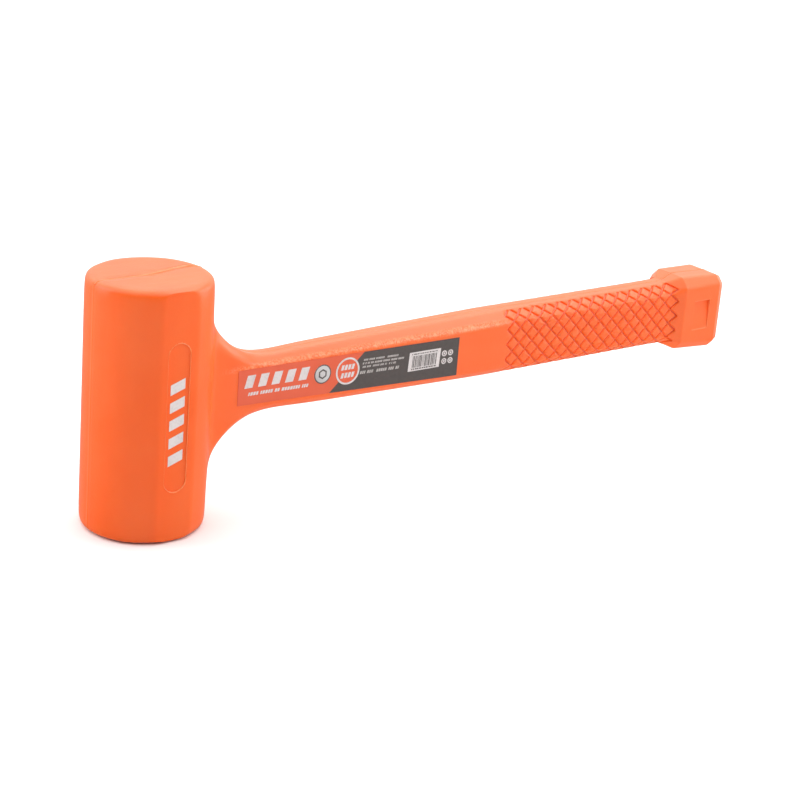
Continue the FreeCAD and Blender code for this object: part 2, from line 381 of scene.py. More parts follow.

# %% [markdown]
# ## Engraving by cutting planes
# Both halves of the mould are alike, so only the half towards -Y is engraved and then mirrored. The
# recesses are engraved the way a toolmaker would lay them out: planes score their outlines into the skin,
# and the faces between the scored lines are then pushed in. bisect_plane scores a line, and inset_region
# with a negative depth sinks a floor with slightly leaning walls. A layer called recess marks how deep
# each corner lies, and the finish paints shade into the recesses from it. A layer called lip marks raised
# edges, and the finish paints a highlight along them from it.

# %% Engraving tools
PILL_W, PILL_LEN, PILL_DEPTH = 9.0, 55.0, 0.6 - LIP_HIGH
POCKET_X, POCKET_Z, POCKET_W, POCKET_H = 265.0, -0.75, 8.9, 12.5
POCKET_DEEP, POCKET_SHALLOW = 1.4, 0.12
# FLOOR_MARK is the recess value of sunk floors, which paints a little shade on them.
WALL_LEAN, FLOOR_MARK = 0.18, 0.15


def corners_of(faces):
    """Every corner of the faces once, in a steady order."""
    return list(dict.fromkeys(v for f in faces for v in f.verts))


def parts_of(faces):
    """The faces with their edges and corners, which is what a cut works on."""
    edges = dict.fromkeys(e for f in faces for e in f.edges)
    return corners_of(faces) + list(edges) + list(faces)


def score(bm, region, planes):
    """Cuts every plane, a point and a normal, into the region and returns the region's faces."""
    geom = parts_of(region)
    for point, normal in planes:
        geom = bmesh.ops.bisect_plane(bm, geom=geom, plane_co=point, plane_no=normal, dist=1e-4)["geom"]
    return [g for g in geom if isinstance(g, bmesh.types.BMFace)]


def sweep(bm, region, planes):
    """Scores parallel planes in order. What already lies behind one is set aside, which keeps it fast."""
    ahead, done = list(region), []
    for point, normal in planes:
        scored = score(bm, ahead, [(point, normal)])
        ahead = []
        for face in scored:
            (ahead if (face.calc_center_median() - point).dot(normal) > 0 else done).append(face)
    return done + ahead


def inside(face, planes):
    """Does the face lie behind every plane?"""
    centre = face.calc_center_median()
    return all((centre - point).dot(normal) < 0 for point, normal in planes)


def sink(bm, floor, depth, lip_highlight, crest=0.0):
    """Pushes a scored floor in by depth, raises its outline by crest and marks both in their layers: the
    outline gets a painted highlight of the strength given, and the floor a little painted shade.
    """
    chosen = set(floor)
    lip = bm.verts.layers.float["lip"]
    for v in corners_of(floor):
        if not chosen.issuperset(v.link_faces):
            v.co.y -= crest * (0.7 + 0.4 * noise.noise(v.co * 0.4))
            v[lip] = lip_highlight
    bmesh.ops.inset_region(bm, faces=floor, thickness=WALL_LEAN, depth=-depth, use_even_offset=True)
    recess = bm.verts.layers.float["recess"]
    for v in corners_of(floor):
        v[recess] = FLOOR_MARK
        v[lip] = 0


skin.verts.layers.float.new("recess")
skin.verts.layers.float.new("lip")
bmesh.ops.bisect_plane(skin, geom=parts_of(skin.faces), plane_co=(0, 0, 0), plane_no=(0, 1, 0),
                       clear_outer=True, dist=1e-4)

# %% [markdown]
# ### The pill on the flat and the pocket on the butt
# The pill's outline is a fan of planes round each end, and the pocket's is four planes. Both are scored
# twice, so that the raised lip round them stays narrow. The pocket's floor is tilted afterwards: deep at
# its upper end and nearly flush at its lower end.

# %% Pill and pocket
END_PLANES = 9
LIP_W = 0.42


def pill_planes(grown=0.0):
    """The fans of planes round both ends also hold the two straight sides."""
    half = PILL_LEN / 2 - PILL_W / 2
    planes = []
    for end in (-1, 1):
        for i in range(END_PLANES):
            turn = math.pi * i / (END_PLANES - 1)
            normal = Vector((math.cos(turn), 0, end * math.sin(turn)))
            planes.append((Vector((0, 0, AXIS_Z + end * half)) + normal * (PILL_W / 2 + grown), normal))
    return planes


def pocket_planes(grown=0.0):
    """The pocket's four sides."""
    planes = []
    for sign in (-1, 1):
        across = Vector((sign, 0, 0))
        along = Vector((0, 0, sign))
        planes.append((Vector((POCKET_X + sign * (POCKET_W / 2 + grown), 0, 0)), across))
        planes.append((Vector((0, 0, AXIS_Z + POCKET_Z + sign * (POCKET_H / 2 + grown))), along))
    return planes


def near_plane(bm, y, x0, x1):
    """Faces of the skin that lie flat at this y between two stations."""
    found = []
    for face in bm.faces:
        centre = face.calc_center_median()
        if abs(centre.y - y) < 0.02 and x0 < centre.x < x1:
            found.append(face)
    return found


flat = score(skin, near_plane(skin, -FLAT_SKIN, -8, 8), pill_planes(LIP_W) + pill_planes())
# The pill's outline gets a full painted highlight.
sink(skin, [f for f in flat if inside(f, pill_planes())], PILL_DEPTH, 1.0, crest=FLAT_Y - FLAT_SKIN)
side = near_plane(skin, -BUTT[0], SHOULDER_X, CHAMFER_X)
panel = score(skin, side, pocket_planes(LIP_W) + pocket_planes())
pocket = [f for f in panel if inside(f, pocket_planes())]
# The pocket's outline gets half the painted highlight.
sink(skin, pocket, POCKET_DEEP, 0.5)
for v in corners_of(pocket):
    climb = (v.co.z - AXIS_Z - POCKET_Z) / POCKET_H + 0.5
    v.co.y = -BUTT[0] + POCKET_SHALLOW + (POCKET_DEEP - POCKET_SHALLOW) * climb
print("pill floor faces:", sum(inside(f, pill_planes()) for f in flat), "pocket floor faces:", len(pocket))

# %% [markdown]
# ## The diamond grip
# The grip is a net of grooves that leaves diamond pads at the handle's own height, so a glove grips the
# pads' edges. The net wraps over the handle's bevels. On the bevel the slope is longer than its height, so
# the same net is scored there with its planes leaning more, and the lines still meet at the fold. Each
# groove is six scored lines: its two lips, two points just inside them that round the pad, and the two
# edges of its floor. Every corner then moves in along its own normal by the depth that its distance from
# the groove's middle asks for. The net ends in a zigzag, because only whole diamonds are outlined.

# %% Lay out the grip's net
NET_X0, NET_X, NET_Z = 159.5, 6.6, 6.27
NET_COLUMNS, NET_ROWS = 14, 4
FOLD_Z = PALM[2]
SLOPE = math.hypot(PALM[0] - PALM[1], PALM[3] - PALM[2]) / (PALM[3] - PALM[2])
ACROSS = NET_X * NET_Z / math.hypot(NET_X, NET_Z)
GROOVE = ((0.74, 0.0), (0.5, 0.18), (0.22, 0.66))


def wrapped(z):
    """Height above the handle's axis, measured along the surface."""
    rise = abs(z - AXIS_Z)
    if rise > FOLD_Z:
        rise = FOLD_Z + (rise - FOLD_Z) * SLOPE
    return math.copysign(rise, z - AXIS_Z)


def has_pad(i, j):
    """Is there a diamond pad in cell (i, j) of the net?"""
    row, middle = i - j, (i + j + 1) / 2
    return abs(row) <= NET_ROWS and 0.4 < middle < NET_COLUMNS - 0.4


def groove_depth(x, z):
    """Depth of the net at a point: nothing on a pad, the full depth on a groove's floor."""
    along, up = (x - NET_X0) / NET_X, wrapped(z) / NET_Z
    u, v = along + up, along - up
    depth = 0.0
    for line, other, pads in ((u, v, lambda i, j: has_pad(i, j) or has_pad(i - 1, j)),
                              (v, u, lambda j, i: has_pad(i, j) or has_pad(i, j - 1))):
        nearest = round(line)
        if not (pads(nearest, math.floor(other + 0.02)) or pads(nearest, math.floor(other - 0.02))):
            continue
        away = abs(line - nearest) * ACROSS
        for lip, lip_depth in GROOVE:
            if away < lip + 0.01:
                depth = max(depth, lip_depth)
    return depth


def net_planes(zone, direction):
    """Scored lines of one direction of the net, on the flat side (0) or the upper (1) or lower (-1) bevel."""
    lean = SLOPE if zone else 1.0
    normal = Vector((1 / NET_X, 0, direction * lean / NET_Z)).normalized()
    shifts = sorted(side * lip for lip, lip_depth in GROOVE for side in (-1, 1))
    planes = []
    for line in range(-3, NET_COLUMNS + 4):
        for shift in shifts:
            x = NET_X0 + (line + shift / ACROSS - direction * zone * FOLD_Z / NET_Z) * NET_X
            planes.append((Vector((x, 0, AXIS_Z + zone * FOLD_Z)), normal))
    return planes


# %% Score the grip and push the grooves in
GRIP_END_X = NET_X0 + NET_COLUMNS * NET_X + 0.7


def grip_faces(bm, zone):
    """The skin's faces in the grip's stretch that belong to one zone of the section."""
    found = []
    for face in bm.faces:
        centre = face.calc_center_median()
        if not NET_X0 - 1 < centre.x < GRIP_END_X + 0.4 or centre.y > -PALM[1] + 0.05:
            continue
        rise = centre.z - AXIS_Z
        if (zone == 0 and abs(rise) < FOLD_Z) or (zone and rise * zone > FOLD_Z):
            found.append(face)
    return found


def frame_grip(bm):
    """Scores the borders of the grip's stretch and of its zones, so that no long cuts leave it."""
    stretch = []
    for face in bm.faces:
        centre = face.calc_center_median()
        if NET_X0 - 12 < centre.x < GRIP_END_X + 8:
            stretch.append(face)
    borders = [(Vector((x, 0, 0)), Vector((1, 0, 0))) for x in (NET_X0 - 1, GRIP_END_X + 0.4)]
    borders += [(Vector((0, 0, AXIS_Z + sign * FOLD_Z)), Vector((0, 0, 1))) for sign in (-1, 1)]
    borders.append((Vector((0, -PALM[1], 0)), Vector((0, 1, 0))))
    score(bm, stretch, borders)


frame_grip(skin)
net = []
for zone in (0, 1, -1):
    faces = grip_faces(skin, zone)
    for direction in (-1, 1):
        faces = sweep(skin, faces, net_planes(zone, direction))
    net += faces
skin.normal_update()
recess = skin.verts.layers.float["recess"]
inward = []
for v in corners_of(net):
    depth = groove_depth(v.co.x, v.co.z)
    if depth > 0:
        inward.append((v, -v.normal * depth))
        # The recess value paints shade into the grooves, deepest on their floors.
        v[recess] = depth / GROOVE[-1][1]
for v, move in inward:
    v.co += move
print("grip:", len(net), "faces,", len(inward), "corners pushed in")

# %% [markdown]
# ## The mould's parting line
# The mould's two halves meet in the mallet's middle plane, and a hair of plastic creeps between them. So
# the finished half is mirrored, two lines are scored beside the middle plane all round, and the corners in
# the plane are raised. On the upper end face the flash was torn off by hand and is ragged, so there its
# height follows a noise, and it stands in a shallow valley so that it doesn't pass the face's height. The
# lower face is worn flat.

# %% Mirror the half and raise the parting line
SEAM_HALF, CREST_HALF, SEAM_HIGH, SEAM_VALLEY = 0.36, 0.12, 0.2, 0.07
VALLEY_HALF, VALLEY_DEEP, BEND_REACH = 3.4, 0.48, 9.0
TOUCHING = 0.01
FLASH_START_X, FLASH_BEND_X = -1.8, 16.9


def eased(t):
    """A smooth ramp from 0 to 1."""
    t = min(max(t, 0), 1)
    return t * t * (3 - 2 * t)


def flash_bend(x):
    """How far the flash on the upper end face leans away from the middle plane."""
    lean = 1.1 * eased((x + HEAD_R) / 8) - 0.4
    lean += 3.1 * eased((x - FLASH_START_X) / (FLASH_BEND_X - FLASH_START_X))
    return lean - 2.8 * eased((x - FLASH_BEND_X) / 4.6)


def flash_height(x):
    """Low where the flash was trimmed, ragged and high where it was torn."""
    torn = eased((x - FLASH_START_X) / 2) * eased((HEAD_R - 2 - x) / 3)
    tooth = abs(noise.noise(Vector((x * 0.9, 4.0, 0)))) * 1.6 + 0.4 * noise.noise(Vector((x * 2.7, 1.0, 0)))
    return 0.14 + torn * (0.28 + 0.6 * tooth)


def flash_valley(x, y):
    """The face dips a little towards the flash."""
    dip = VALLEY_DEEP * max(0, 1 - abs(y) / VALLEY_HALF) ** 2
    return dip * eased((x + HEAD_R - 3) / 4) * eased((HEAD_R - 2 - x) / 4)


bmesh.ops.mirror(skin, geom=parts_of(skin.faces), axis="Y", merge_dist=1e-3)
bmesh.ops.remove_doubles(skin, verts=skin.verts, dist=1e-3)
bmesh.ops.recalc_face_normals(skin, faces=skin.faces)
for half_width in (SEAM_HALF, CREST_HALF):
    beside = [(Vector((0, side * half_width, 0)), Vector((0, 1, 0))) for side in (-1, 1)]
    score(skin, [f for f in skin.faces if min(abs(v.co.y) for v in f.verts) < half_width], beside)
skin.normal_update()
lip = skin.verts.layers.float["lip"]
moves = []
for v in skin.verts:
    if v.co.z > HEAD_LEN - 1 and v.co.x < HEAD_R:
        v.co.z -= flash_valley(v.co.x, v.co.y)
    if abs(v.co.y) > SEAM_HALF + TOUCHING or v.co.z < RIM_ROW / 2:
        continue
    on_top = v.co.z > HEAD_LEN - 1 and v.co.x < HEAD_R
    on_crest = abs(v.co.y) < CREST_HALF + TOUCHING
    crest = flash_height(v.co.x) if on_top else SEAM_HIGH * (0.75 + 0.5 * noise.noise(v.co * 0.2))
    lift = crest if abs(v.co.y) < TOUCHING else crest * 0.55 if on_crest else -SEAM_VALLEY
    moves.append((v, v.normal * lift))
    # The lip value paints a highlight on the seam's crest, stronger where the flash is torn and high.
    if on_crest:
        v[lip] = 0.25 + 0.75 * min(crest, 1) if on_top else 0.25
    elif on_top:
        # The recess value paints shadow into the valley beside the flash.
        v[recess] = 0.45
for v, move in moves:
    v.co += move
for v in skin.verts:
    v.co.x = min(max(v.co.x, -HEAD_R), END_X)
    v.co.y = min(max(v.co.y, -FLAT_Y), FLAT_Y)
    v.co.z = min(v.co.z, HEAD_LEN)
for v in skin.verts:
    if v.co.z > HEAD_LEN - 1.2 and v.co.x < HEAD_R:
        v.co.y += flash_bend(v.co.x) * max(0, 1 - abs(v.co.y) / BEND_REACH) ** 2
print("skin after the seam:", len(skin.faces), "faces")


# %% [markdown]
# ## From bmesh to piece
# Every piece ends the same way: scaled to metres, smooth shaded with its real edges kept sharp, and set to
# ride on a CAD body. The skin takes the place of the CAD body's plain solid.

# %% From bmesh to piece
def finish_piece(bm, name, body="mallet", sharp=32, smooth=True):
    """Turns a bmesh in millimetres into an object in metres that rides on a body."""
    bmesh.ops.scale(bm, vec=(MM, MM, MM), verts=bm.verts)
    mesh = bpy.data.meshes.new(name)
    bm.to_mesh(mesh)
    bm.free()
    for polygon in mesh.polygons:
        polygon.use_smooth = smooth
    mesh.set_sharp_from_angle(angle=math.radians(sharp))
    piece = add_object(name, mesh)
    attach(piece, body)
    print(name, len(mesh.polygons), "faces")
    return piece


body_skin = finish_piece(skin, "body_skin", sharp=38)
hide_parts("moulded_body")

# %% [markdown]
# ## The label's print
# The label is a film stuck on the handle's flat side, and it follows the slight bend where the handle
# starts to swell. The print on it is thin raised ink. Every mark is cut from a flat sheet first, in the
# plane of the label, and then laid on: scored where the label bends, and moved out to the film's surface.
# The marks are plain shapes that carry no words: slanted bars, lines of little blocks, rings and stripes.

# %% Ink tools
LABEL_X0, LABEL_X1 = (corner.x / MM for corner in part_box("handle_label"))
LABEL_THICK = 0.15
INK = 0.035


def label_middle(x):
    """The height of the label's middle line above the handle's axis: the film sits slightly askew."""
    return 0.6 - 1.75 * (x - LABEL_X0) / (LABEL_X1 - LABEL_X0)


def ink_block(bm, x, z, width, height, slant=0.0, layer=1):
    """A flat block of ink centred at (x, z) above the axis, its top leaning towards +X by slant."""
    verts = bmesh.ops.create_grid(bm, x_segments=1, y_segments=1, size=0.5)["verts"]
    for v in verts:
        v.co = Vector((x + v.co.x * width + v.co.y * slant, -layer * INK, AXIS_Z + z + v.co.y * height))
    return verts


def ink_disc(bm, x, z, radius, layer=1, sides=32):
    """A flat disc of ink."""
    turned = Matrix.Translation((x, -layer * INK, AXIS_Z + z)) @ Matrix.Rotation(math.pi / 2, 4, "X")
    return bmesh.ops.create_circle(bm, cap_ends=True, segments=sides, radius=radius, matrix=turned)["verts"]


def ink_ring(bm, x, z, radius, stroke, layer=1, sides=48):
    """A flat ring of ink: a disc, inset once, with its middle taken out."""
    verts = ink_disc(bm, x, z, radius, layer, sides)
    disc = verts[0].link_faces[0]
    bmesh.ops.inset_region(bm, faces=[disc], thickness=stroke, use_even_offset=True, use_boundary=True)
    bmesh.ops.delete(bm, geom=[disc], context="FACES")


def lay_on_label(bm, name):
    """Scores flat ink where the label bends, moves it out to the film and gives it its thickness."""
    score(bm, list(bm.faces), [(Vector((NECK_X, 0, 0)), Vector((1, 0, 0)))])
    for face in bm.faces:
        if face.normal.y > 0:
            face.normal_flip()
    bm.normal_update()
    for v in bm.verts:
        v.co.y -= palm_section(v.co.x)[0] + LABEL_THICK
    walls = bmesh.ops.extrude_face_region(bm, geom=list(bm.faces), use_keep_orig=True)["geom"]
    for v in walls:
        if isinstance(v, bmesh.types.BMVert):
            v.co.y += INK * 0.9
    bmesh.ops.recalc_face_normals(bm, faces=bm.faces)
    piece = finish_piece(bm, name)
    return piece


def line_of_blocks(bm, x0, x1, z, height, seed, slant=0.3):
    """A line of little blocks of uneven width with small gaps, in place of small lettering."""
    draw = random.Random(seed)
    x = x0
    while x < x1 - height * 0.5:
        width = height * draw.uniform(0.45, 0.85)
        if draw.random() < 0.16:
            x += height * 0.6
            continue
        middle = z + label_middle(x) - label_middle(x0)
        ink_block(bm, x + width / 2, middle, width, height, height * slant)
        x += width + height * 0.22


# %% [markdown]
# ### The red end: bars, a line of small blocks, a seal and a ring
# Five slanted bars fill the space of the largest print, like the five on the head, and a line of small
# blocks runs below them. The seal is a stamped metal-look disc with a dark rim and hexagon, and the ring
# badge holds two rows of slanted blocks.

# %% Print on the red end
bars = bmesh.new()
BARS, BAR_X0, BAR_PITCH, BAR_Z, BAR_W, BAR_H = 5, 39.6, 5.9, 2.1, 3.5, 4.8
for i in range(BARS):
    x = BAR_X0 + BAR_PITCH * i
    ink_block(bars, x, BAR_Z + label_middle(x), BAR_W, BAR_H, slant=1.4)
lay_on_label(bars, "label_bars")

tagline = bmesh.new()
TAG_X0, TAG_X1, TAG_Z, TAG_H = 37.6, 65.4, -2.15, 1.25
line_of_blocks(tagline, TAG_X0, TAG_X1, TAG_Z, TAG_H, seed=4)
lay_on_label(tagline, "label_tagline")

SEAL_X, SEAL_Z, SEAL_R, SEAL_STROKE, HEXAGON_R, HEXAGON_STROKE = 71.5, 0.8, 3.75, 0.42, 2.0, 0.55
seal_rim = bmesh.new()
ink_ring(seal_rim, SEAL_X, SEAL_Z, SEAL_R, SEAL_STROKE, layer=2)
ink_ring(seal_rim, SEAL_X, SEAL_Z, HEXAGON_R, HEXAGON_STROKE, layer=2, sides=6)
lay_on_label(seal_rim, "label_seal_lines")
seal = bmesh.new()
ink_disc(seal, SEAL_X, SEAL_Z, SEAL_R, sides=48)
lay_on_label(seal, "label_seal")

BADGE_X, BADGE_Z, BADGE_R, BADGE_STROKE = 82.8, 0.4, 5.35, 0.72
BADGE_BLOCKS, BLOCK_PITCH, BLOCK_W, BLOCK_H = 4, 1.55, 1.1, 2.0
badge = bmesh.new()
ink_ring(badge, BADGE_X, BADGE_Z, BADGE_R, BADGE_STROKE, layer=2)
for z in (1.55, -1.6):
    for i in range(BADGE_BLOCKS):
        x = BADGE_X + (i - (BADGE_BLOCKS - 1) / 2) * BLOCK_PITCH
        ink_block(badge, x, BADGE_Z + z, BLOCK_W, BLOCK_H, slant=0.55, layer=2)
lay_on_label(badge, "label_badge")
badge_field = bmesh.new()
ink_disc(badge_field, BADGE_X, BADGE_Z, BADGE_R - 0.1, sides=48)
lay_on_label(badge_field, "label_badge_field")

# %% [markdown]
# ### The dark end: small print, a stripe box and four dots
# The small print is three fine lines and a larger one. The stripe box is a white block with upright
# stripes of uneven width, and the four dots each have a small dark mark.

# %% Print on the dark end
FINE_X0, FINE_H = 89.6, 0.72
small_print = bmesh.new()
for z, end in ((3.75, 106.2), (2.35, 108.6), (0.95, 105.0)):
    line_of_blocks(small_print, FINE_X0, end, z, FINE_H, seed=int(z * 10))
line_of_blocks(small_print, FINE_X0 - 1, 108.4, -1.15, 1.15, seed=9)
lay_on_label(small_print, "label_small_print")

STRIPE_X0, STRIPE_X1, STRIPE_Z, STRIPE_H = 111.2, 126.1, -0.3, 7.6
DOTS, DOT_R, MARK_R = [(x, z) for x in (128.15, 131.15) for z in (1.05, -2.1)], 1.22, 0.72
stripe_box = bmesh.new()
middle = (STRIPE_X0 + STRIPE_X1) / 2
ink_block(stripe_box, middle, STRIPE_Z, STRIPE_X1 - STRIPE_X0, STRIPE_H, slant=0.45)
for x, z in DOTS:
    ink_disc(stripe_box, x, z, DOT_R, sides=20)
lay_on_label(stripe_box, "label_stripe_box")

stripes = bmesh.new()
draw = random.Random(12)
x = STRIPE_X0 + 1.7
while x < STRIPE_X1 - 1.9:
    width = draw.choice((0.16, 0.24, 0.4))
    ink_block(stripes, x + width / 2, STRIPE_Z - 0.1, width, STRIPE_H - 2.9, slant=0.28, layer=2)
    x += width + draw.choice((0.18, 0.26, 0.4))
for z, height in ((STRIPE_Z + 2.95, 0.45), (STRIPE_Z - 3.05, 0.55)):
    x = STRIPE_X0 + 1.4
    while x < STRIPE_X1 - 1.6:
        width = draw.uniform(0.3, 0.8)
        ink_block(stripes, x + width / 2, z, width, height, slant=0.05, layer=2)
        x += width + draw.uniform(0.2, 0.5)
for x, z in DOTS:
    ink_ring(stripes, x, z, MARK_R, 0.26, layer=2, sides=16)
lay_on_label(stripes, "label_stripes")


# %% [markdown]
# ## The shot
# What makes the blow dead is the loose steel shot in the canister: it arrives a moment after the head and
# cancels the bounce. 402 balls repeat one small sphere of 48 faces, smooth shaded, laid in the close-packed
# layers that the frame's own charge has, and they replace it.

# %% The shot
CAN_R, CAN_WALL, CLEARANCE = 18.0, 2.0, 0.04
BALL_R, BALL_PITCH, LAYERS, CHARGE_Z = 2.25, 4.55, 12, 14.05
CHARGE_R = CAN_R - CAN_WALL - CLEARANCE


def ball_places():
    """Centres of the close-packed balls that fit inside the canister, layer by layer."""
    places = []
    for layer in range(LAYERS):
        shift = Vector((BALL_PITCH / 2, BALL_PITCH / math.sqrt(12))) if layer % 2 else Vector((0, 0))
        z = CHARGE_Z + BALL_R + layer * BALL_PITCH * math.sqrt(2 / 3)
        for i in range(-5, 6):
            for j in range(-5, 6):
                flat = shift + BALL_PITCH * Vector((i + j / 2, j * math.sqrt(3) / 2))
                if flat.length <= CHARGE_R - BALL_R:
                    places.append(Vector((flat.x, flat.y, z)))
    return places


ball = bmesh.new()
bmesh.ops.create_uvsphere(ball, u_segments=8, v_segments=6, radius=BALL_R)
charge = bmesh.new()
for place in ball_places():
    one = bpy.data.meshes.new("ball")
    ball.to_mesh(one)
    one.transform(Matrix.Translation(place))
    charge.from_mesh(one)
    bpy.data.meshes.remove(one)
ball.free()
charge_box = [[round(c / MM, 1) for c in corner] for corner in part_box("shot_charge")]
print("balls:", len(ball_places()), "in", charge_box)
loose_shot = finish_piece(charge, "loose_shot", body="shot", sharp=80)
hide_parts("shot_charge")


# %% [markdown]
# ## Finishes
# Every finish is a small program of nodes. To read like one, shader maths is written as ordinary Python:
# Value wraps a socket, so that 1 - mask adds a Math node. All other nodes come from one method, Finish.node,
# which sets a node's settings first and then its sockets. Sizes in the patterns are in metres, because
# every pattern reads Object coordinates.

# %% Shader tools
class Value:
    """A number or colour that varies over the surface; arithmetic on it adds Math nodes."""

    def __init__(self, finish, socket):
        self.finish, self.socket = finish, socket

    def math(self, operation, a, b=None):
        inputs = {0: a} if b is None else {0: a, 1: b}
        return self.finish.node("Math", {"operation": operation}, inputs)

    def __add__(self, other):
        return self.math("ADD", self, other)

    def __sub__(self, other):
        return self.math("SUBTRACT", self, other)

    def __rsub__(self, other):
        return self.math("SUBTRACT", other, self)

    def __mul__(self, other):
        return self.math("MULTIPLY", self, other)

    def __truediv__(self, other):
        return self.math("DIVIDE", self, other)

    def __abs__(self):
        return self.math("ABSOLUTE", self)

    __radd__ = __add__
    __rmul__ = __mul__

    def lowest(self, other):
        return self.math("MINIMUM", self, other)

    def highest(self, other):
        return self.math("MAXIMUM", self, other)

    def step(self, start, end):
        """0 before start, 1 after end, and a smooth ramp between them."""
        return self.finish.node("MapRange", {"interpolation_type": "SMOOTHSTEP"},
                                {"Value": self, "From Min": start, "From Max": end})


class Nodes:
    """A node tree that any node is added to by node(): its type, its settings, then its sockets."""

    def __init__(self, tree):
        self.tree = tree

    def node(self, kind, settings=None, inputs=None, output=0):
        made = self.tree.nodes.new("ShaderNode" + kind)
        for key, value in (settings or {}).items():
            setattr(made, key, value)
        for key, value in (inputs or {}).items():
            self.feed(made.inputs[key], value)
        return Value(self, made.outputs[output])

    def feed(self, socket, value):
        if isinstance(value, Value):
            self.tree.links.new(value.socket, socket)
        else:
            socket.default_value = value


class Finish(Nodes):
    """One material: its Principled shader, its constants and the places its patterns read."""

    def __init__(self, name, **constants):
        self.material = bpy.data.materials.new(name)
        self.material.use_nodes = True
        super().__init__(self.material.node_tree)
        self.shader = self.tree.nodes["Principled BSDF"]
        for socket, value in constants.items():
            self.shader.inputs[socket.replace("_", " ")].default_value = value
        self.place = self.node("TexCoord", output="Object")
        apart = self.node("SeparateXYZ", inputs={0: self.place})
        outputs = apart.socket.node.outputs
        self.x, self.y, self.z = (Value(self, outputs[axis]) for axis in "XYZ")

    def noise(self, scale, detail=2.0, stretch=None, roughness=0.5):
        """Cloudy noise; stretch scales each axis, so a small number draws it out along that axis."""
        place = self.place
        if stretch:
            place = self.node("Mapping", inputs={"Vector": place, "Scale": stretch})
        inputs = {"Vector": place, "Scale": scale, "Detail": detail, "Roughness": roughness}
        return self.node("TexNoise", inputs=inputs)

    def mix(self, a, b, factor):
        """Colour a where factor is 0 and b where it is 1."""
        return self.node("Mix", {"data_type": "RGBA"}, {0: factor, 6: a, 7: b}, output=2)

    def paint(self, **values):
        for socket, value in values.items():
            self.feed(self.shader.inputs[socket.replace("_", " ")], value)

    def bump(self, height, distance, strength=1.0):
        """Feeds the shader's normal from a height; distance is the relief of 1 in metres."""
        inputs = {"Height": height, "Distance": distance, "Strength": strength}
        self.paint(Normal=self.node("Bump", inputs=inputs))

    def dress(self, *objects):
        """Puts this finish on pieces and CAD nodes."""
        for piece in objects:
            piece.data.materials.clear()
            piece.data.materials.append(self.material)
            if "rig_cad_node" in piece:
                for polygon in piece.data.polygons:
                    polygon.material_index = 0
        print(self.material.name, "->", ", ".join(piece.name for piece in objects))


# %% [markdown]
# ### Orange moulded PVC
# Soft PVC is dense but light sinks a little way into it, so its shadows glow orange: a small subsurface
# weight does that. Its surface is satin with a fine orange peel, which breaks highlights along the folds
# into speckles, and faint streaks show how it flowed along the handle. Shade is painted into the recesses
# as purer and deeper orange on the grooves' walls and floors, a touch on the sunk floors, and in the valley
# beside the flash. A paler orange on the torn flash, the seam and the raised lips is a painted highlight,
# and so are the paler speckles along the handle's upper fold. The layers recess and lip, set while the
# skin was engraved, say where the painted shade and the lips' painted highlight go.

# %% Body plastic
ORANGE = (0.92, 0.118, 0.010, 1)
ORANGE_LIGHT = (0.95, 0.142, 0.020, 1)
HANDLE_ORANGE = (0.93, 0.158, 0.040, 1)
RECESS_WALL_SHADE = (1.0, 0.13, 0.0, 1)
GROOVE_FLOOR_SHADE = (0.84, 0.125, 0.05, 1)
LIP_HIGHLIGHT_ORANGE = (1.0, 0.40, 0.18, 1)
FOLD_HIGHLIGHT_ORANGE = (1.0, 0.36, 0.17, 1)
SPECK = (0.14, 0.03, 0.015, 1)


def fold_highlight(finish, on_handle):
    """A painted highlight along the handle's upper fold: two sizes of speckle in a band that follows the
    fold.
    """
    swell = ((finish.x / MM - NECK_X) / (PALM_X - NECK_X)).highest(0).lowest(1)
    fold = NECK[2] + (PALM[2] - NECK[2]) * swell
    near_fold = 1 - abs(finish.z / MM - AXIS_Z - fold).step(0.2, 1.7)
    fine = finish.noise(1500, detail=2).step(0.42, 0.62)
    coarse = finish.noise(330, detail=2).step(0.45, 0.6)
    fold_highlight_reach = on_handle * (1 - finish.x.step(0.150, 0.165))
    return near_fold * (fine * 0.5 + coarse * 0.3) * fold_highlight_reach


